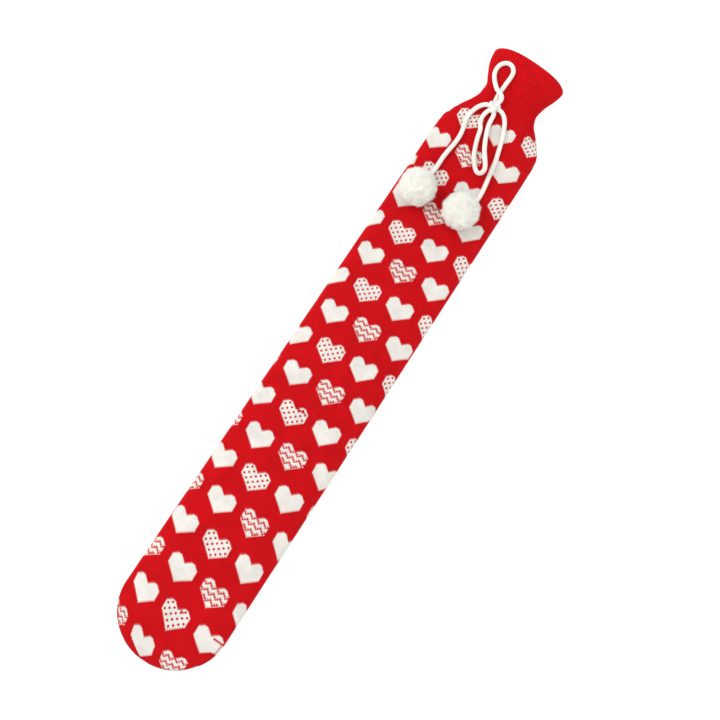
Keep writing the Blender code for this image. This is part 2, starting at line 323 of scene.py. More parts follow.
def near_wale(wales):
    """The same wales, counted on from one end of the tube's round to the other as columns are."""
    return wales + STITCHES_ROUND * np.round((NUMBERS - wales) / STITCHES_ROUND)


def skin_row(section, arcs, inset, relief):
    """One row of vertices: the section's outline with relief, swollen a little on its top."""
    ring = outline(section, inset)
    arcs = arcs * ring[0, -1] / outline(section, 0)[0, -1] if inset else arcs
    x, z = on_ring(ring, arcs)
    ahead, behind = on_ring(ring, arcs + SLOPE_REACH), on_ring(ring, arcs - SLOPE_REACH)
    way = np.array([behind[1] - ahead[1], ahead[0] - behind[0]])
    way /= np.maximum(np.hypot(*way), 1e-9)
    free = gradual(z, 8 * MM, 20 * MM)  # 0 where the cloth lies on the floor
    y = bowed(section, x, section[Y])
    x, z = x + way[0] * relief, z + way[1] * relief + free * unevenness(x, y)
    return np.stack([x, y, z], axis=1)


def relief_of(wales, rib, wale):
    """Ribs on the collar, two wales each, and a low ridge for each wale everywhere."""
    ribs = rib / 2 * np.cos(math.pi * wales) - 0.1 * rib * np.cos(2 * math.pi * wales)
    return ribs + wale / 2 * np.cos(2 * math.pi * wales)


WALE_HEIGHT = 0.28 * MM
BODY_END = -300 * MM  # below it the columns turn towards the foot's seams
rows = []  # of the outer skin, from the rim to the foot: vertices, wales on top, under, courses
body_ys = np.concatenate(
    [
        np.arange(RIM, 283 * MM, -2.2 * MM),
        np.linspace(281 * MM, BODY_END, 118),
        np.linspace(-304 * MM, -331 * MM, 8),
    ]
)
for y in body_ys:
    section = section_at(y)
    ring = outline(section, 0)
    arcs = wale_columns(section)
    if y < BODY_END:
        half_round = ring[0, -1]
        moved = foot_columns(ring)
        moved += 2 * half_round * np.round((arcs - moved) / (2 * half_round))
        arcs = arcs + (moved - arcs) * gradual(-y, -BODY_END, -FOOT_START)
        arcs = (arcs + half_round) % (2 * half_round) - half_round
    x = on_ring(ring, arcs)[0]
    bow_y = bowed(section, x, y)
    wales = near_wale(wale_at(arcs, x, bow_y, ring[0, -1]))
    rib = section[RIB] * (1 - 0.4 * gradual(y, RIM - 7 * MM, RIM))
    points = skin_row(section, arcs, 0, relief_of(wales, rib, WALE_HEIGHT))
    rows.append((points, wales, wales, course_at(x, bow_y), section, arcs))

# The foot's two panels turn down to the seam, so their courses are counted along their curves.
SEAM_SINK, SEAM_LIP = 0.8 * MM, 0.25 * MM  # how deep the seam lies, and how far its sides stand
FOOT_MIDDLE = np.array([0, FOOT_START - 20 * MM, 12 * MM])
past_top = past_under = 0.0
above = None
seam_line = []
for k in range(FOOT_RINGS):
    section = foot_section(math.pi / 2 * k / FOOT_RINGS, 0)
    ring = outline(section, 0)
    arcs = foot_columns(ring)
    x = on_ring(ring, arcs)[0]
    y, top, under = section[Y], ring[2].max(), ring[2].min()
    if above is not None:
        past_top += math.hypot(above[0] - y, above[1] - top) - (above[0] - y)
        past_under += math.hypot(above[0] - y, above[2] - under) - (above[0] - y)
    above = (y, top, under)
    course_top, course_under = course_at(x, y - past_top), course_at(x, y - past_under)
    wales_top = wale_at(arcs, x, y, BODY_HALF_ROUND, course_top)
    on_body = np.copysign(BODY_HALF_ROUND - (ring[0, -1] - np.abs(arcs)), arcs)
    wales_under = wale_at(on_body, x, y, BODY_HALF_ROUND, course_under)
    fade = 1 - gradual(-y, 330 * MM, 350 * MM)
    points = skin_row(section, arcs, 0, relief_of(NUMBERS, 0, WALE_HEIGHT * fade))
    sunk = gradual(k, 0, 3)
    for seam in (LEFT_SEAM, RIGHT_SEAM):
        inward = unit(FOOT_MIDDLE - points[seam])
        points[seam] += inward * SEAM_SINK * sunk
        for beside in (seam - 1, seam + 1):
            points[beside % COLUMNS] -= inward * SEAM_LIP * sunk
    courses = np.where(on_top, course_top, course_under)
    rows.append((points, near_wale(wales_top), near_wale(wales_under), courses, section, arcs))
    seam_line.append((points[LEFT_SEAM].copy(), points[RIGHT_SEAM].copy()))

# The inner skin has the same columns and fewer rows, and shows plain red at the mouth.
inner_rows = []
for k, (*_, section, arcs) in enumerate(rows):
    in_foot = k - len(body_ys)
    if in_foot < 0 and k % (3 if section[Y] > 280 * MM else 6) == 0:
        inner_rows.append(skin_row(section, arcs, WALL, -relief_of(NUMBERS, section[RIB], 0) / 3))
    elif in_foot >= 0 and in_foot % 3 == 0:
        section = foot_section(math.pi / 2 * in_foot / FOOT_RINGS, WALL)
        ring = outline(section, WALL)
        x, z = on_ring(ring, foot_columns(ring))
        inner_rows.append(np.stack([x, np.full_like(x, section[Y]), z], axis=1))

rim_rows = []
middle, side = (rows[0][0] + inner_rows[0]) / 2, (rows[0][0] - inner_rows[0]) / 2
for k in range(1, RIM_CURL_RINGS + 1):
    turn = math.pi * k / (RIM_CURL_RINGS + 1)
    curl = middle + side * math.cos(turn)
    curl[:, 1] += WALL / 2 * math.sin(turn)
    rim_rows.append(curl)


def knit_mesh(name, rings, ends, places, closed=False):
    """A smooth mesh from rings of points, with the wale and course of each face's corners.

    The last ring is joined to the first, or else each end closes in a point.
    """
    faces, count, last = [], len(rings[0]), len(rings) - 1
    for k in range(last + closed):
        a, b = k * count, (k + 1) % len(rings) * count
        for n in range(count):
            m = (n + 1) % count
            faces.append((a + n, a + m, b + m, b + n))
    a, tips = last * count, len(rings) * count
    for n in range(0 if closed else count):
        m = (n + 1) % count
        faces += [(tips, m, n), (tips + 1, a + n, a + m)]
    mesh = bpy.data.meshes.new(name)
    mesh.from_pydata(np.concatenate([*rings, ends]).tolist(), [], faces)
    layer = mesh.uv_layers.new(name="stitches")
    layer.data.foreach_set("uv", np.array(places, np.float32).ravel())
    mesh.shade_smooth()
    return mesh


def added(name, data):
    """A new object in the scene."""
    made = bpy.data.objects.new(name, data)
    bpy.context.collection.objects.link(made)
    return made


# All rows make one closed skin, from the foot's outer tip over the rim to its inner tip.
POLE_HEIGHT = 11.7 * MM
outer = [row[0] for row in rows][::-1]
loops = outer + rim_rows + inner_rows
poles = [(0, FOOT_END, POLE_HEIGHT), (0, FOOT_END + WALL, POLE_HEIGHT)]

# Each corner's place in the knit: its wale and its course, from its own panel of the foot.
INSIDE_COURSE = -30.0
wale_sets = [np.array([row[n] for row in rows][::-1]) for n in (1, 2)]
course_rows = np.array([row[3] for row in rows][::-1])
panels = [0 if on_top[n] and on_top[(n + 1) % COLUMNS] else 1 for n in range(COLUMNS)]


def knit_place(row, column, panel):
    """The wale and course of a corner, past the last column counted on."""
    lap, n = divmod(column, COLUMNS)
    if row < len(outer):
        return wale_sets[panel][row][n] + lap * STITCHES_ROUND, course_rows[row][n]
    if row < len(outer) + RIM_CURL_RINGS // 2 + 1:
        return NUMBERS[n] + lap * STITCHES_ROUND, course_rows[-1][n] - 0.8 * (row - len(outer) + 1)
    return NUMBERS[n] + lap * STITCHES_ROUND, INSIDE_COURSE - 1.2 * row


places = []
for k in range(len(loops) - 1):
    for n, panel in enumerate(panels):
        for row, column in ((k, n), (k, n + 1), (k + 1, n + 1), (k + 1, n)):
            places.append(knit_place(row, column, panel))
for n, panel in enumerate(panels):
    first, second = knit_place(0, n, panel), knit_place(0, n + 1, panel)
    places += [((first[0] + second[0]) / 2, first[1] + 0.5), second, first]
    inside = [(NUMBERS[n], INSIDE_COURSE - 500), (NUMBERS[n] + 0.5, INSIDE_COURSE - 500)]
    places += [(NUMBERS[n] + 0.25, INSIDE_COURSE - 501), *inside]
cover_mesh = knit_mesh("knitted_cover", loops, poles, places)
# Painted shade along the foot's two seam columns, as in the seam's groove, fading in over the four
# rings nearest the body.
seam_painted_shade = np.zeros(len(cover_mesh.vertices), np.float32)
for k in range(FOOT_RINGS):
    for seam in (LEFT_SEAM, RIGHT_SEAM):
        seam_painted_shade[(FOOT_RINGS - 1 - k) * COLUMNS + seam] = gradual(k, 0, 4)
cover_mesh.attributes.new("seam_painted_shade", "FLOAT", "POINT").data.foreach_set("value", seam_painted_shade)
knitted_cover = added("knitted_cover_cloth", cover_mesh)


def feed(tree, socket, value):
    """Gives an input socket a value of its own, or another node's output."""
    if isinstance(value, bpy.types.NodeSocket):
        tree.links.new(value, socket)
    else:
        socket.default_value = value


def makers(tree):
    """Two functions that add a node to a tree and give its outputs: any node, and a Math node."""

    def node(kind, inputs=(), **settings):
        made = tree.nodes.new(kind)
        for title, value in settings.items():
            setattr(made, title, value)
        for title, value in dict(inputs).items():
            feed(tree, made.inputs[title], value)
        return made.outputs

    def do(operation, *values):
        return node("ShaderNodeMath", enumerate(values), operation=operation)[0]

    return node, do


def node_group(name, inputs, outputs, family="ShaderNodeTree"):
    """A new node group with named sockets: its tree, its end nodes' sockets and its makers."""
    tree = bpy.data.node_groups.new(name, family)
    if family == "GeometryNodeTree":
        tree.is_modifier = True
    for title, kind, *value in inputs:
        socket = tree.interface.new_socket(title, in_out="INPUT", socket_type=kind)
        if value:
            socket.default_value = value[0]
    for title, kind in outputs:
        tree.interface.new_socket(title, in_out="OUTPUT", socket_type=kind)
    given = tree.nodes.new("NodeGroupInput").outputs
    wanted = tree.nodes.new("NodeGroupOutput").inputs
    return tree, given, wanted, *makers(tree)


FLOAT, VECTOR = "NodeSocketFloat", "NodeSocketVector"


def knit_stitches():
    """Stocking stitch: a V of two legs for each wale and course, read from a wale and a course."""
    tree, given, wanted, node, do = node_group(
        "knit_stitches",
        [("Stitch Place", VECTOR), ("Leg Rise", FLOAT, 1.6)],
        [("Height", FLOAT), ("Along", FLOAT)],
    )
    across, along, _ = node("ShaderNodeSeparateXYZ", {0: given["Stitch Place"]})
    off = do("ABSOLUTE", do("SUBTRACT", across, do("FLOOR", do("ADD", across, 0.5))))
    from_leg = do("SUBTRACT", off, 0.25)
    place = do("ADD", along, do("MULTIPLY", given["Leg Rise"], from_leg))
    leg = do("MULTIPLY", from_leg, 4)
    leg = do("SUBTRACT", 1, do("MULTIPLY", leg, leg))
    end = do("SUBTRACT", do("MULTIPLY", do("FRACT", place), 2), 1)
    end = do("MULTIPLY", end, end)
    end = do("SUBTRACT", 1, do("MULTIPLY", end, end))
    body = do("MULTIPLY_ADD", end, 0.45, 0.55)
    feed(tree, wanted["Height"], do("MULTIPLY", do("POWER", leg, 0.7), body))
    feed(tree, wanted["Along"], place)
    return tree


def heart_rows():
    """The chart of the hearts: 1 where a stitch is white. It repeats after 40 wales and 48 courses.

    Each heart is 15 stitches wide and 16 courses high. Rows of plain and zigzag hearts take
    turns with rows of plain and dotted hearts.
    """
    tree, given, wanted, _, do = node_group(
        "heart_rows",
        [("Wale", FLOAT, 0), ("Course", FLOAT, 0)],
        [("White", FLOAT), ("Dotted", FLOAT), ("Side", FLOAT), ("Line", FLOAT)],
    )

    def every(first, *others):
        """1 where all of these are 1."""
        for other in others:
            first = do("MULTIPLY", first, other)
        return first

    wales, courses = 20, 24  # from one heart to the next across, and from one row to the next
    row = do("FLOOR", do("DIVIDE", given["Course"], courses))
    line = do("SUBTRACT", given["Course"], do("MULTIPLY", row, courses))
    zigzag_row = do("FLOORED_MODULO", row, 2)
    shift = do("MULTIPLY", do("SUBTRACT", 1, zigzag_row), 9)
    place = do("ADD", do("SUBTRACT", given["Wale"], shift), wales / 2)
    heart = do("FLOOR", do("DIVIDE", place, wales))
    side = do("SUBTRACT", do("SUBTRACT", place, do("MULTIPLY", heart, wales)), wales / 2)
    odd = do("FLOORED_MODULO", heart, 2)
    far = do("ABSOLUTE", side)
    lobes = do("LESS_THAN", do("ABSOLUTE", do("SUBTRACT", far, 4)), do("ADD", line, 1.5))
    width = do("LESS_THAN", far, 7.5)
    point = do("LESS_THAN", do("ADD", line, far), 15.5)
    below_collar = do("GREATER_THAN", given["Course"], -0.5)
    inside = every(lobes, width, point, below_collar)
    bend = do("ABSOLUTE", do("SUBTRACT", do("FLOORED_MODULO", do("ADD", side, 2), 4), 2))
    zigzag = do("FLOORED_MODULO", do("SUBTRACT", do("SUBTRACT", line, 2), bend), 4)
    between = every(do("GREATER_THAN", line, 1.5), do("LESS_THAN", line, 12.5))
    zigzag = every(do("LESS_THAN", zigzag, 0.5), between, zigzag_row, do("SUBTRACT", 1, odd))
    white = every(inside, do("SUBTRACT", 1, zigzag))

    def wrong(row_of_hearts, heart_of_row, lines, sides):
        """1 in a block of stitches that the machine missed in one heart."""
        masks = [do("COMPARE", row, row_of_hearts, 0.5), do("COMPARE", heart, heart_of_row, 0.5)]
        for value, (first, last) in ((line, lines), (side, sides)):
            masks.append(do("COMPARE", value, (first + last) / 2, (last - first) / 2 + 0.5))
        return every(*masks)

    white = do("MAXIMUM", white, wrong(16, 0, (4, 11), (3, 14)))
    for missed in (
        wrong(10, -1, (2, 2), (1, 5)),
        wrong(16, 0, (3, 3), (2, 9)),
        wrong(16, -1, (2, 2), (2, 3)),
    ):
        white = every(white, do("SUBTRACT", 1, missed))
    dotted = every(odd, do("SUBTRACT", 1, zigzag_row), inside)
    for title, value in (("White", white), ("Dotted", dotted), ("Side", side), ("Line", line)):
        feed(tree, wanted[title], value)
    return tree


def two_colours(chart):
    """The chart worked in two yarns: the red one is plumper, and creeps over the white one's edge.

    The dotted hearts' single red stitches draw up into round dots, every other course.
    """
    tree, given, wanted, node, do = node_group(
        "two_colours",
        [
            ("Stitch Place", VECTOR),
            ("Along", FLOAT, 0),
            ("Creep", FLOAT, 0.15),
            ("Lean", FLOAT, 0.2),
            ("Dot Size", FLOAT, 0.62),
        ],
        [("White", FLOAT)],
    )

    def charted(wale, course):
        """What the chart says of the stitch at a wale and a course."""
        stitch = {"Wale": do("FLOOR", wale), "Course": do("FLOOR", course)}
        return node("ShaderNodeGroup", stitch, node_tree=chart)

    across, along, _ = node("ShaderNodeSeparateXYZ", {0: given["Stitch Place"]})
    lean = do("SINE", do("MULTIPLY", given["Along"], 2 * math.pi))
    lean = do("ADD", do("ADD", across, do("MULTIPLY", lean, given["Lean"])), 0.5)
    creep = given["Creep"]
    back = do("MULTIPLY", creep, -1)
    white = 1
    for sideways, onward in ((creep, 0), (back, 0), (0, creep), (0, back)):
        found = charted(do("ADD", lean, sideways), do("ADD", given["Along"], onward))
        white = do("MINIMUM", white, found["White"])

    near = do("FLOOR", do("ADD", across, 0.5))
    whole = charted(near, along)
    side = do("ADD", do("SUBTRACT", across, near), whole["Side"])
    line = do("SUBTRACT", do("SUBTRACT", along, do("FLOOR", along)), 1.5)
    line = do("ADD", line, whole["Line"])
    parts = []
    for operation in ("ADD", "SUBTRACT"):
        skew = do("DIVIDE", do(operation, side, line), 4)
        parts.append(do("SUBTRACT", skew, do("ROUND", skew)))
    wide, high = do("MULTIPLY", do("ADD", *parts), 2.0), do("MULTIPLY", do("SUBTRACT", *parts), 1.6)
    from_dot = node("ShaderNodeCombineXYZ", {0: wide, 1: high})[0]
    from_dot = node("ShaderNodeVectorMath", {0: from_dot}, operation="LENGTH")["Value"]
    dot = do("MULTIPLY", do("LESS_THAN", from_dot, given["Dot Size"]), whole["Dotted"])
    feed(tree, wanted["White"], do("MULTIPLY", white, do("SUBTRACT", 1, dot)))
    return tree


def wool_fibres():
    """Soft yarn: fine fibres, and slow changes of shade as from uneven dye and wear."""
    tree, given, wanted, node, do = node_group(
        "wool_fibres",
        [("Place", VECTOR), ("Fibres", FLOAT, 1), ("Mottling", FLOAT, 1)],
        [("Height", FLOAT), ("Shade", FLOAT)],
    )

    def grain(scale, detail, roughness):
        """Noise about 0."""
        look = {"Scale": scale, "Detail": detail, "Roughness": roughness}
        found = node("ShaderNodeTexNoise", {"Vector": given["Place"], **look})["Fac"]
        return do("SUBTRACT", found, 0.5)

    fine, wide = grain(1900, 3, 0.65), grain(55, 4, 0.7)
    shade = do("MULTIPLY", fine, do("MULTIPLY", given["Fibres"], 0.5))
    shade = do("MULTIPLY_ADD", wide, given["Mottling"], shade)
    feed(tree, wanted["Height"], do("MULTIPLY", fine, given["Fibres"]))
    feed(tree, wanted["Shade"], do("ADD", shade, 1))
    return tree


KNIT_STITCHES, WOOL_FIBRES = knit_stitches(), wool_fibres()
TWO_COLOURS = two_colours(heart_rows())


def woollen(name, sheen, tint, roughness, fibres, mottling):
    """A new soft matt wool: its material, node makers, colour mixer, fibres and last step."""
    mat = bpy.data.materials.new(name)
    mat.use_nodes = True
    tree = mat.node_tree
    shader = tree.nodes["Principled BSDF"].inputs
    shader["Roughness"].default_value = roughness
    shader["Specular IOR Level"].default_value = 0.1
    shader["Sheen Weight"].default_value = sheen
    shader["Sheen Tint"].default_value = tint
    shader["Sheen Roughness"].default_value = 0.6
    node, do = makers(tree)
    hairs = {"Place": node("ShaderNodeTexCoord")["Object"], "Fibres": fibres, "Mottling": mottling}
    hairs = node("ShaderNodeGroup", hairs, node_tree=WOOL_FIBRES)

    def mix(share, first, second, blend="MIX"):
        colours = {0: share, 6: first, 7: second}
        return node("ShaderNodeMix", colours, data_type="RGBA", blend_type=blend)[2]

    def finish(colour, height, distance):
        """Shades the colour by the fibres, and lifts the height by a distance for each 1."""
        feed(tree, shader["Base Color"], mix(1.0, colour, hairs["Shade"], "MULTIPLY"))
        bump = node("ShaderNodeBump", {"Height": height, "Distance": distance})
        feed(tree, shader["Normal"], bump["Normal"])

    return mat, node, do, mix, hairs, finish


# Yarn colours, each with a darker copy that is painted shade for the gaps between the stitches'
# legs.
RED_WOOL = (0.655, 0.0045, 0.009, 1)
RED_GAP_PAINTED_SHADE = (0.38, 0.001, 0.003, 1)
RED_SHEEN = (1, 0.2, 0.15, 1)
WHITE_WOOL = (0.89, 0.855, 0.80, 1)
WHITE_GAP_PAINTED_SHADE = (0.72, 0.67, 0.61, 1)
cover_cloth, node, do, mix, hairs, finish = woollen(
    "red_heart_knit", 0.03, RED_SHEEN, 0.92, fibres=0.8, mottling=0.5
)
place = node("ShaderNodeUVMap", uv_map="stitches")[0]
stitch = node("ShaderNodeGroup", {"Stitch Place": place, "Leg Rise": 2.0}, node_tree=KNIT_STITCHES)
white = {"Stitch Place": place, "Along": stitch["Along"]}
white = {**white, "Creep": 0.14, "Lean": 0.22, "Dot Size": 0.62}
white = node("ShaderNodeGroup", white, node_tree=TWO_COLOURS)["White"]
# Each yarn is painted darker in the gaps between the stitches' legs, as painted shade, and keeps
# its full colour on the raised legs.
raised = do("POWER", stitch["Height"], 0.6)
colour = mix(white, mix(raised, RED_GAP_PAINTED_SHADE, RED_WOOL), mix(raised, WHITE_GAP_PAINTED_SHADE, WHITE_WOOL))

# Painted shade in the furrows between the collar's ribs, with their ridges painted lighter, and
# painted shade along the seam that closes the foot.
across, along, _ = node("ShaderNodeSeparateXYZ", {0: place})
rib_painted_light_and_shade = do("COSINE", do("MULTIPLY", across, math.pi))
rib_painted_light_and_shade = do("POWER", do("MULTIPLY_ADD", rib_painted_light_and_shade, -0.5, 0.5), 1.5)
on_collar = node("ShaderNodeMapRange", {"Value": along, "From Min": 2.0, "From Max": -9.0})
rib_painted_light_and_shade = do("MULTIPLY", do("MULTIPLY_ADD", rib_painted_light_and_shade, 0.34, -0.27), on_collar["Result"])
seam_painted_shade = node("ShaderNodeAttribute", attribute_name="seam_painted_shade")["Fac"]
painted_rib_and_seam_shading = do("MULTIPLY_ADD", seam_painted_shade, 0.6, rib_painted_light_and_shade)
colour = mix(1.0, colour, do("SUBTRACT", 1, painted_rib_and_seam_shading), "MULTIPLY")
finish(colour, do("MULTIPLY_ADD", hairs["Height"], 0.35, stitch["Height"]), 0.35 * MM)
cover_mesh.materials.append(cover_cloth)

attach(knitted_cover, "root")
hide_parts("knitted_cover")

# --- Seam of the foot ---
# The foot is closed on a linking machine, which chains the edges of the two panels together with
# the same red yarn. The chain lies in the seam's groove, a loop for each pair of wales.

SEAM_LOOP = 2.3 * MM
SEAM_LOOP_WIDTH = 1.3 * MM
SEAM_YARN = 0.5 * MM
SEAM_GROOVE = 0.2 * MM
SEAM_RISE = 1.2  # how steeply the loops face up, against 1 outwards


def gone_along(points):
    """How far along the line through the points each of them is."""
    steps = np.linalg.norm(np.diff(points, axis=0), axis=1)
    return np.concatenate([[0], np.cumsum(steps)])


def evenly(points, step):
    """Points read again at even steps along the line through them."""
    gone = gone_along(points)
    at = np.linspace(0, gone[-1], max(2, round(gone[-1] / step) + 1))
    return np.stack([np.interp(at, gone, points[:, n]) for n in range(3)], axis=1)


def grown(name, seed_mesh, tree, values):
    """The plain mesh object that a geometry node tree makes from a mesh, with these inputs."""
    holder = added(name + "_seed", seed_mesh)
    growth = holder.modifiers.new("growth", "NODES")
    growth.node_group = tree
    for item in tree.interface.items_tree:
        if item.item_type == "SOCKET" and item.in_out == "INPUT" and item.name in values:
            growth[item.identifier] = values[item.name]
    seen = holder.evaluated_get(bpy.context.evaluated_depsgraph_get())
    mesh = bpy.data.meshes.new_from_object(seen)
    mesh.name = name
    bpy.data.objects.remove(holder)
    return added(name, mesh)


GEOMETRY = "NodeSocketGeometry"
tree, given, wanted, node, _ = node_group(
    "linking_chain",
    [
        ("Geometry", GEOMETRY),
        ("Loop Length", FLOAT),
        ("Loop Width", FLOAT),
        ("Yarn", FLOAT),
        ("Wool", "NodeSocketMaterial"),
    ],
    [("Geometry", GEOMETRY)],
    "GeometryNodeTree",
)
ring = node("GeometryNodeCurvePrimitiveCircle", {"Resolution": 12, "Radius": 0.5})["Curve"]
stretch = {"X": given["Loop Length"], "Y": given["Loop Width"], "Z": 0.0}
stretch = node("ShaderNodeCombineXYZ", stretch)[0]
ring = node("GeometryNodeTransform", {"Geometry": ring, "Scale": stretch})["Geometry"]
strand = {"Resolution": 6, "Radius": given["Yarn"]}
strand = node("GeometryNodeCurvePrimitiveCircle", strand)["Curve"]
loop = node("GeometryNodeCurveToMesh", {"Curve": ring, "Profile Curve": strand})["Mesh"]
loop = node("GeometryNodeSetShadeSmooth", {"Geometry": loop})["Geometry"]
outward, onward = (
    node("GeometryNodeInputNamedAttribute", {"Name": title}, data_type="FLOAT_VECTOR")[0]
    for title in ("outward", "onward")
)
turned = node("FunctionNodeAlignRotationToVector", {"Vector": outward}, axis="Z")[0]
turned = {"Rotation": turned, "Vector": onward}
turned = node("FunctionNodeAlignRotationToVector", turned, axis="X", pivot_axis="Z")[0]
chain = {"Points": given["Geometry"], "Instance": loop, "Rotation": turned}
chain = node("GeometryNodeInstanceOnPoints", chain)["Instances"]
chain = node("GeometryNodeRealizeInstances", {"Geometry": chain})["Geometry"]
chain = node("GeometryNodeSetMaterial", {"Geometry": chain, "Material": given["Wool"]})
feed(tree, wanted["Geometry"], chain["Geometry"])

seam_points = [pair[0] for pair in seam_line] + [pair[1] for pair in seam_line[::-1]]
seam_points = evenly(np.array(seam_points), SEAM_LOOP)
outwards = seam_points - FOOT_MIDDLE
outwards[:, 2] = 0
outwards = unit(outwards)
outwards[:, 2] = SEAM_RISE
outwards = unit(outwards)
seam_seed = bpy.data.meshes.new("seam_points")
seam_seed.from_pydata((seam_points + outwards * SEAM_GROOVE).tolist(), [], [])
for title, vectors in (("outward", outwards), ("onward", np.gradient(seam_points, axis=0))):
    attribute = seam_seed.attributes.new(title, "FLOAT_VECTOR", "POINT")
    attribute.data.foreach_set("vector", vectors.astype(np.float32).ravel())

SEAM_SHEEN = (1, 0.35, 0.3, 1)
seam_wool, *_, hairs, finish = woollen(
    "red_seam_yarn", 0.12, SEAM_SHEEN, 0.92, fibres=1.0, mottling=0.5
)
finish(RED_WOOL, hairs["Height"], 0.15 * MM)
values = {"Loop Length": SEAM_LOOP * 1.25, "Loop Width": SEAM_LOOP_WIDTH}
values = {**values, "Yarn": SEAM_YARN / 2, "Wool": seam_wool}
seam_chain = grown("foot_seam_chain", seam_seed, tree, values)
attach(seam_chain, "root")

# --- Cord bow ---
# A soft off-white cord, knitted as a thin tube, is tied in a bow on the front of the neck. One
# loop lies up the collar and crosses itself, the other lies down the front and folds back, and
# two tails fall to the pompoms. A tight knot holds them, and all of it rests on the cloth.

CORD = 5.2 * MM
CORD_SEAT = 0.6 * MM
CORD_WALES = 6
CORD_COURSE = 1.9 * MM
CORD_POINTS = 24
CORD_STEP = 0.45 * MM
TOUCH = 0.35 * MM
KNOT_SPOT = (-0.0154, 0.3165)
KNOT_REACH = 6.1 * MM
KNOT_SIZE = 1.75 * MM
KNOT_HEIGHT = 2.6 * MM
KNOT_CORD = 4.9 * MM
KNOT_SINK = 1.2 * MM
KNOT_DEPTH = 3 * MM  # how far a cord runs on into the knot

# Routes as in the part's source: x, y and lift above the cloth.
UPPER_LOOP = (
    (-0.0179, 0.3252, 0.0001), (-0.0186, 0.3306, 0), (-0.0187, 0.3364, 0),
    (-0.0185, 0.3428, 0), (-0.0182, 0.3494, 0), (-0.0179, 0.3562, 0),
    (-0.0184, 0.3620, 0), (-0.0207, 0.3664, 0), (-0.0245, 0.3692, 0),
    (-0.0291, 0.3696, 0), (-0.0333, 0.3675, 0), (-0.0361, 0.3634, 0),
    (-0.0368, 0.3580, 0), (-0.0354, 0.3522, 0.0001), (-0.0319, 0.3464, 0.0006),
    (-0.0280, 0.3406, 0.0022), (-0.0238, 0.3352, 0.0048), (-0.0196, 0.3324, 0.0062),
    (-0.0160, 0.3305, 0.0064), (-0.0135, 0.3276, 0.0065), (-0.0130, 0.3242, 0.0060),
)
LOWER_LOOP = (
    (-0.0190, 0.3083, 0.0006), (-0.0202, 0.3028, 0), (-0.0199, 0.2976, 0),
    (-0.0186, 0.2934, 0), (-0.0164, 0.2900, 0), (-0.0144, 0.2866, 0),
    (-0.0130, 0.2818, 0), (-0.0116, 0.2762, 0), (-0.0096, 0.2700, 0),
    (-0.0072, 0.2634, 0), (-0.0042, 0.2564, 0), (0.0004, 0.2498, 0),
    (0.0054, 0.2437, 0.0001), (0.0097, 0.2404, 0.0019), (0.0134, 0.2406, 0.0062),
    (0.0144, 0.2442, 0.0105), (0.0120, 0.2491, 0.0123), (0.0076, 0.2560, 0.0112),
    (0.0026, 0.2648, 0.0078), (-0.0014, 0.2742, 0.0040), (-0.0046, 0.2826, 0.0014),
    (-0.0075, 0.2908, 0.0003), (-0.0094, 0.2982, 0), (-0.0107, 0.3088, 0.0006),
)
LEFT_TAIL = (
    (-0.0244, 0.3143, 0.0022), (-0.0284, 0.3109, 0.0010), (-0.0314, 0.3058, 0.0002),
    (-0.0333, 0.2998, 0), (-0.0342, 0.2936, 0), (-0.0339, 0.2872, 0),
    (-0.0323, 0.2808, 0), (-0.0304, 0.2738, 0), (-0.0294, 0.2660, 0),
    (-0.0295, 0.2569, 0), (-0.0307, 0.2461, 0), (-0.0317, 0.2351, 0),
    (-0.0316, 0.2259, 0), (-0.0316, 0.2169, 0.0008), (-0.0324, 0.2087, 0.0032),
    (-0.0337, 0.2017, 0.0066),
)
RIGHT_TAIL = (
    (-0.0060, 0.3171, 0.0004), (-0.0010, 0.3149, 0), (0.0037, 0.3099, 0),
    (0.0075, 0.3031, 0), (0.0112, 0.2944, 0), (0.0139, 0.2857, 0),
    (0.0166, 0.2761, 0), (0.0195, 0.2653, 0), (0.0215, 0.2549, 0),
    (0.0231, 0.2445, 0), (0.0249, 0.2341, 0), (0.0262, 0.2241, 0.0001),
    (0.0264, 0.2151, 0.0014), (0.0247, 0.2069, 0.0050),
)


def cloth_height(x, y):
    """Height of the top of the cover over a point."""
    section = section_at(y)
    centre, half = centre_and_half(section)
    t = min(abs((x - centre) / half), 0.999)
    section = section_at(y - section[BOW] * (1 - t**4))
    n = section[FULLNESS]
    top = section[WAIST] + section[RISE] * (1 - t**n) ** (1 / n)
    return float(top + unevenness(x, y))


def smooth_line(points):
    """Close points on a Catmull-Rom curve through the points."""
    ends = np.vstack([2 * points[0] - points[1], points, 2 * points[-1] - points[-2]])
    t = np.linspace(0, 1, 40, endpoint=False)[:, None]
    pieces = []
    for a, b, c, d in zip(ends, ends[1:], ends[2:], ends[3:]):
        square, cube = 2 * a - 5 * b + 4 * c - d, 3 * b - a - 3 * c + d
        pieces.append(0.5 * (2 * b + (c - a) * t + square * t**2 + cube * t**3))
    return np.vstack([*pieces, points[-1:]])


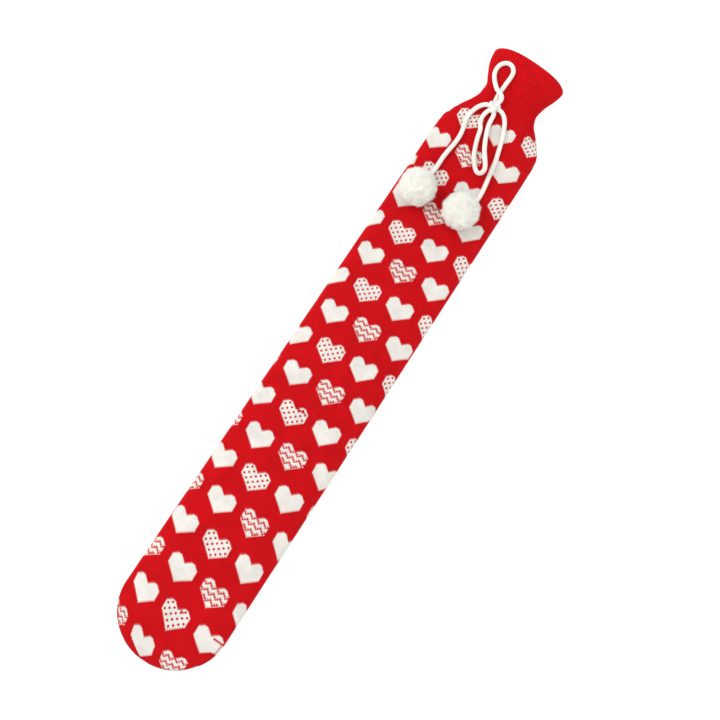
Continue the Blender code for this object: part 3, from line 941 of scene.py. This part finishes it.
def cord_skin(name, path, width, closed=False):
    """A knitted tube along a path: grooves between its wales, and a V for each stitch."""
    if closed:
        onward = np.roll(path, -1, axis=0) - np.roll(path, 1, axis=0)
    else:
        onward = np.gradient(path, axis=0)
    onward = unit(onward)
    side = unit(np.cross(onward, [0, 0, 1]))
    over = np.cross(side, onward)
    gone = gone_along(path)
    turns = np.arange(CORD_POINTS) / CORD_POINTS
    wales = turns * CORD_WALES
    off = np.abs(wales - np.round(wales))
    course = gone / CORD_COURSE
    legs = np.cos(2 * math.pi * (course[:, None] + 1.4 * off[None, :]))
    groove = 0.26 * np.exp(-((off / 0.14) ** 2)) + 0.1 * np.exp(-(((0.5 - off) / 0.14) ** 2))
    radius = width / 2 * (1 + 0.035 * legs - 0.42 * groove[None, :])
    if not closed:
        from_end = np.minimum(gone, gone[-1] - gone) / (width / 2)
        radius *= np.sqrt(np.clip(1 - (1 - np.clip(from_end, 0.02, 1)) ** 2, 0, 1))[:, None]
    angle = (turns * 2 * math.pi)[None, :, None]
    outward = over[:, None] * np.cos(angle) + side[:, None] * np.sin(angle)
    rings = path[:, None] + radius[..., None] * outward
    places = []
    for start in course if closed else course[:-1]:
        after = start + CORD_STEP / CORD_COURSE
        for left in wales + 0.5:
            right = left + CORD_WALES / CORD_POINTS
            places += [(left, start), (right, start), (right, after), (left, after)]
    for wale in () if closed else wales:
        places += [(wale, 0)] * 3 + [(wale, course[-1])] * 3
    ends = path[:0] if closed else path[[0, -1]]
    mesh = knit_mesh(name, rings, ends, places, closed)
    bm = bmesh.new()
    bm.from_mesh(mesh)
    bmesh.ops.recalc_face_normals(bm, faces=bm.faces)
    bm.to_mesh(mesh)
    bm.free()
    mesh.materials.append(cord_knit)
    return added(name, mesh)


# The cord's cream, with a darker copy that is painted shade for the gaps between its stitches'
# legs.
CREAM_CORD = (0.93, 0.915, 0.865, 1)
CREAM_GAP_PAINTED_SHADE = (0.74, 0.72, 0.64, 1)
WHITE_SHEEN = (1, 1, 1, 1)
cord_knit, node, do, mix, hairs, finish = woollen(
    "cream_cord_knit", 0.2, WHITE_SHEEN, 0.9, fibres=1.0, mottling=0.12
)
place = node("ShaderNodeUVMap", uv_map="stitches")[0]
stitch = node("ShaderNodeGroup", {"Stitch Place": place, "Leg Rise": 1.4}, node_tree=KNIT_STITCHES)
# The cord is painted darker in the gaps between its stitches' legs, as painted shade.
colour = mix(do("POWER", stitch["Height"], 0.5), CREAM_GAP_PAINTED_SHADE, CREAM_CORD)
finish(colour, do("MULTIPLY_ADD", hairs["Height"], 0.5, stitch["Height"]), 0.25 * MM)

knot_centre = np.array([*KNOT_SPOT, cloth_height(*KNOT_SPOT) + KNOT_REACH + TOUCH])


def bow_line(route, end=None, end_radius=KNOT_REACH):
    """The centre line of a cord that leaves the knot, and ends at it or at another ball."""
    end = knot_centre if end is None else end
    points = [(x, y, cloth_height(x, y) + CORD / 2 + CORD_SEAT + lift) for x, y, lift in route]
    points = np.array(points)
    start = knot_centre + unit(points[0] - knot_centre) * (KNOT_REACH + TOUCH)
    finish = end + unit(points[-1] - end) * (end_radius + TOUCH)
    return evenly(smooth_line(np.vstack([start, points, finish])), CORD_STEP)


def into_knot(line):
    """The line carried on straight into the knot from its last point, and turned round."""
    inside = line[-1] + unit(knot_centre - line[-1]) * KNOT_DEPTH
    return evenly(np.vstack([line, inside]), CORD_STEP)[::-1]


def lay_cord(name, line, length):
    """One stretch of the bow's cord along its line."""
    piece = cord_skin(name + "_cord", line, CORD)
    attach(piece, "root")
    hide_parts(name)


# The knot is a trefoil: three crossing lobes of the same cord, pulled tight.
turns = np.linspace(0, 2 * math.pi, 160, endpoint=False)
tied = np.stack(
    [
        KNOT_SIZE * (np.sin(turns) + 2 * np.sin(2 * turns)),
        KNOT_SIZE * (np.cos(turns) - 2 * np.cos(2 * turns)),
        -KNOT_HEIGHT * np.sin(3 * turns),
    ],
    axis=1,
)
tied = tied + knot_centre - np.array([0, 0, KNOT_SINK])
knot = cord_skin("tied_knot", tied, KNOT_CORD, closed=True)
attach(knot, "root")
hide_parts("cord_knot")

lay_cord("upper_loop", into_knot(into_knot(bow_line(UPPER_LOOP))), 0.124)
lay_cord("lower_loop", into_knot(into_knot(bow_line(LOWER_LOOP))), 0.173)

# --- Pompoms ---
# Each tail of the cord ends in a fluffy ball of cut creamy white yarn, bound tightly in its
# middle. Its strands stand out all round, and are pressed short where the ball lies on the cloth.

POMPOM_RADIUS = 21 * MM
POMPOM_CORE = 14 * MM
POMPOM_SINK = 2 * MM
PILE_ROOTS = 18.7 * MM
PILE_LUMPS = 2.2 * MM
PILE_LUMP_WIDTH = 5 * MM
PILE_SPACING = 1.5 * MM
PILE_TILT = 0.4
PILE_PRESSED = 0.7  # of the radius below the middle, from where the cloth holds the pile back
PILE_OVER_CLOTH = 0.3 * MM
YARN_END = 0.9 * MM
YARN_END_HEIGHT = 1.4 * MM
YARN_SIDES = 7
FIBRES_OF_END = 8
FIBRE = 0.13 * MM
LEFT_POMPOM = (-0.0377, 0.1823)
RIGHT_POMPOM = (0.0178, 0.1872)


def as_mesh(bm, name):
    """A new mesh from a bmesh, which is then freed."""
    mesh = bpy.data.meshes.new(name)
    bm.to_mesh(mesh)
    bm.free()
    return mesh


def around(turn):
    """The way to a turn round the Z axis."""
    return Vector((math.cos(turn), math.sin(turn), 0))


# One cut end of the yarn, splayed into three lobes, with a few loose fibres.
chance = random.Random(11)
bm = bmesh.new()
along = bm.verts.layers.float.new("along")  # 0 at the root, 1 at the tip
rings = []
for height, width in ((-0.6, 0.95), (0.3, 1.08), (0.85, 0.7)):
    rings.append([])
    for n in range(YARN_SIDES):
        turn = 2 * math.pi * n / YARN_SIDES
        reach = YARN_END * width * (1 + 0.16 * math.cos(3 * turn) * (height > 0))
        lift = YARN_END_HEIGHT * height * chance.uniform(0.88, 1.12)
        rings[-1].append(bm.verts.new(around(turn) * reach + Vector((0, 0, lift))))
        rings[-1][-1][along] = max(height, 0)
top = bm.verts.new((0, 0, YARN_END_HEIGHT * 0.97))
top[along] = 1
for n in range(YARN_SIDES):
    m = (n + 1) % YARN_SIDES
    for low, high in zip(rings, rings[1:]):
        bm.faces.new((low[n], low[m], high[m], high[n]))
    bm.faces.new((rings[-1][n], rings[-1][m], top))
bm.faces.new(rings[0][::-1])
for k in range(FIBRES_OF_END):
    spin = 2 * math.pi * (k * 0.382 + chance.uniform(-0.06, 0.06))
    out = around(spin)
    root = out * YARN_END * chance.uniform(0.2, 0.8) + Vector((0, 0, YARN_END_HEIGHT * 0.6))
    tip = root + out * chance.uniform(0.4, 1.9) * MM
    point = bm.verts.new(tip + Vector((0, 0, chance.uniform(0.8, 2.1) * MM)))
    point[along] = 1
    base = [bm.verts.new(root + around(2 * math.pi * n / 3 + spin) * FIBRE) for n in range(3)]
    bm.faces.new(base[::-1])
    for n in range(3):
        base[n][along] = 0.6
        bm.faces.new((base[n], base[(n + 1) % 3], point))
tuft_mesh = as_mesh(bm, "yarn_tuft")
tuft_mesh.shade_smooth()
tuft = added("yarn_tuft", tuft_mesh)

pile_tree, given, wanted, node, do = node_group(
    "cut_pile",
    [
        ("Geometry", GEOMETRY),
        ("Tuft", "NodeSocketObject"),
        ("Spacing", FLOAT),
        ("Tilt", FLOAT),
        ("Seed", "NodeSocketInt"),
        ("Pile", "NodeSocketMaterial"),
    ],
    [("Geometry", GEOMETRY)],
    "GeometryNodeTree",
)
core, tilt, seed = given["Geometry"], given["Tilt"], given["Seed"]
roots = {"Mesh": core, "Distance Min": given["Spacing"], "Density Max": 2.0e6, "Seed": seed}
roots = node("GeometryNodeDistributePointsOnFaces", roots, distribute_method="POISSON")
back = do("MULTIPLY", tilt, -1.0)
least = node("ShaderNodeCombineXYZ", {0: back, 1: back})[0]
most = node("ShaderNodeCombineXYZ", {0: tilt, 1: tilt, 2: 2 * math.pi})[0]
lean = {0: least, 1: most, "Seed": seed}
lean = node("FunctionNodeRandomValue", lean, data_type="FLOAT_VECTOR")[0]
lean = node("FunctionNodeEulerToRotation", {0: lean})[0]
turned = {0: roots["Rotation"], 1: lean}
turned = node("FunctionNodeRotateRotation", turned, rotation_space="LOCAL")[0]
size = node("FunctionNodeRandomValue", {2: 0.65, 3: 1.5, "Seed": seed}, data_type="FLOAT")[1]
bundle = node("GeometryNodeObjectInfo", {"Object": given["Tuft"]})["Geometry"]
pile = {"Points": roots["Points"], "Instance": bundle, "Rotation": turned, "Scale": size}
pile = node("GeometryNodeInstanceOnPoints", pile)["Instances"]
pile = node("GeometryNodeRealizeInstances", {"Geometry": pile})["Geometry"]
joined = node("GeometryNodeJoinGeometry", {0: core})[0]
feed(pile_tree, joined.node.inputs[0], pile)
pile = node("GeometryNodeSetMaterial", {"Geometry": joined, "Material": given["Pile"]})
feed(pile_tree, wanted["Geometry"], pile["Geometry"])

CREAM_PILE = (0.985, 0.983, 0.92, 1)
CREAM_ROOT_PAINTED_SHADE = (0.965, 0.957, 0.875, 1)
pile_yarn, node, _, mix, hairs, finish = woollen(
    "cream_pile_yarn", 0.7, WHITE_SHEEN, 1.0, fibres=0.6, mottling=0.1
)
# The pile is painted a little darker and warmer at its roots than at its tips, as painted shade
# deep in the pile.
along = node("ShaderNodeAttribute", attribute_name="along")["Fac"]
finish(mix(along, CREAM_ROOT_PAINTED_SHADE, CREAM_PILE), hairs["Height"], 0.15 * MM)


def pompom(name, spot, seed, leaning):
    """A ball of tufts over a core, with what would press into the cloth held back above it."""
    centre = Vector((*spot, cloth_height(*spot) + POMPOM_RADIUS - POMPOM_SINK))
    bm = bmesh.new()
    bmesh.ops.create_icosphere(bm, subdivisions=4, radius=PILE_ROOTS)
    for vert in bm.verts:
        lump = noise.noise(vert.co / PILE_LUMP_WIDTH + Vector((seed, 0, 0)))
        vert.co += vert.co.normalized() * PILE_LUMPS * lump
    bmesh.ops.translate(bm, verts=bm.verts, vec=centre + Vector(leaning))
    core = as_mesh(bm, name + "_core")
    core.shade_smooth()
    values = {"Tuft": tuft, "Spacing": PILE_SPACING, "Tilt": PILE_TILT}
    ball = grown(name + "_ball", core, pile_tree, {**values, "Seed": seed, "Pile": pile_yarn})
    for vert in ball.data.vertices:
        if vert.co.z < centre.z - PILE_PRESSED * POMPOM_RADIUS:
            vert.co.z = max(vert.co.z, cloth_height(vert.co.x, vert.co.y) + PILE_OVER_CLOTH)
    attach(ball, "root")
    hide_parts(name)
    return ball, np.array(centre)


for side, route, spot, seed, leaning, length in (
    ("left", LEFT_TAIL, LEFT_POMPOM, 3, (1.7 * MM, 1.0 * MM, 0), 0.132),
    ("right", RIGHT_TAIL, RIGHT_POMPOM, 8, (-0.3 * MM, -0.5 * MM, 0), 0.136),
):
    ball, centre = pompom("pompom_" + side, spot, seed, leaning)
    line = into_knot(bow_line(route, centre, POMPOM_CORE)[::-1])
    lay_cord("tail_" + side, line, length)
bpy.data.objects.remove(tuft)

# --- Floor, light and camera ---
# The cover lies on a plain white floor in soft studio light, brighter from the upper left of the
# picture. The camera looks down steeply and is turned so that the cover crosses the picture.

CAMERA_ELEVATION = math.radians(77.5)
CAMERA_ROLL = math.radians(33.363)
CAMERA_DISTANCE = 1.2551
CAMERA_AIM = Vector((0.01532, -0.00756, 0.013))
look = Vector((0, math.cos(CAMERA_ELEVATION), -math.sin(CAMERA_ELEVATION)))
level = Vector((1, 0, 0))
tilted = level.cross(look)
right = level * math.cos(CAMERA_ROLL) + tilted * math.sin(CAMERA_ROLL)
up = tilted * math.cos(CAMERA_ROLL) - level * math.sin(CAMERA_ROLL)
camera = added("camera", bpy.data.cameras.new("camera"))
camera.data.lens = 58
camera.data.sensor_width = 36
placing = Matrix((right, up, -look)).transposed().to_4x4()
placing.translation = CAMERA_AIM - look * CAMERA_DISTANCE
camera.matrix_world = placing
bpy.context.scene.camera = camera

FLOOR_HALF = 4.0
FLOOR_DROP = 0.5 * MM
bm = bmesh.new()
bmesh.ops.create_grid(bm, x_segments=2, y_segments=2, size=FLOOR_HALF)
floor_mesh = as_mesh(bm, "floor")
floor_mesh.transform(Matrix.Translation((0, 0, -FLOOR_DROP)))
floor = added("floor", floor_mesh)
floor_paint = bpy.data.materials.new("pale_floor")
floor_paint.use_nodes = True
tree = floor_paint.node_tree
shader = tree.nodes["Principled BSDF"]
shader.inputs["Base Color"].default_value = (0.3, 0.3, 0.3, 1)
shader.inputs["Emission Color"].default_value = (1, 1, 1, 1)
shader.inputs["Emission Strength"].default_value = 0.8
shader.inputs["Roughness"].default_value = 0.9
shader.inputs["Specular IOR Level"].default_value = 0.1
node, _ = makers(tree)
clear = node("ShaderNodeBsdfTransparent")[0]  # so that a view from below sees the back
behind = node("ShaderNodeNewGeometry")["Backfacing"]
either = node("ShaderNodeMixShader", {0: behind, 1: shader.outputs[0], 2: clear})[0]
feed(tree, tree.nodes["Material Output"].inputs["Surface"], either)
floor_mesh.materials.append(floor_paint)
floor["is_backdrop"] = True

# One large soft lamp, placed from the aim in the picture's directions, and an even white sky.
lamp = added("key_light", bpy.data.lights.new("key_light", "AREA"))
lamp.data.size, lamp.data.energy = 1.1, 11
lamp.location = CAMERA_AIM - right * 0.9 + up * 0.7 - look * 1.4
lamp.rotation_euler = (CAMERA_AIM - lamp.location).to_track_quat("-Z", "Y").to_euler()
sky = bpy.data.worlds.new("studio")
bpy.context.scene.world = sky
sky.use_nodes = True
glow = sky.node_tree.nodes["Background"].inputs
glow["Color"].default_value = (1, 1, 1, 1)
glow["Strength"].default_value = 1.0
bpy.context.scene.view_settings.view_transform = "Standard"

low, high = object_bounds()
{"cad": [list(p) for p in CAD_BOX], "visual": [list(low), list(high)]}
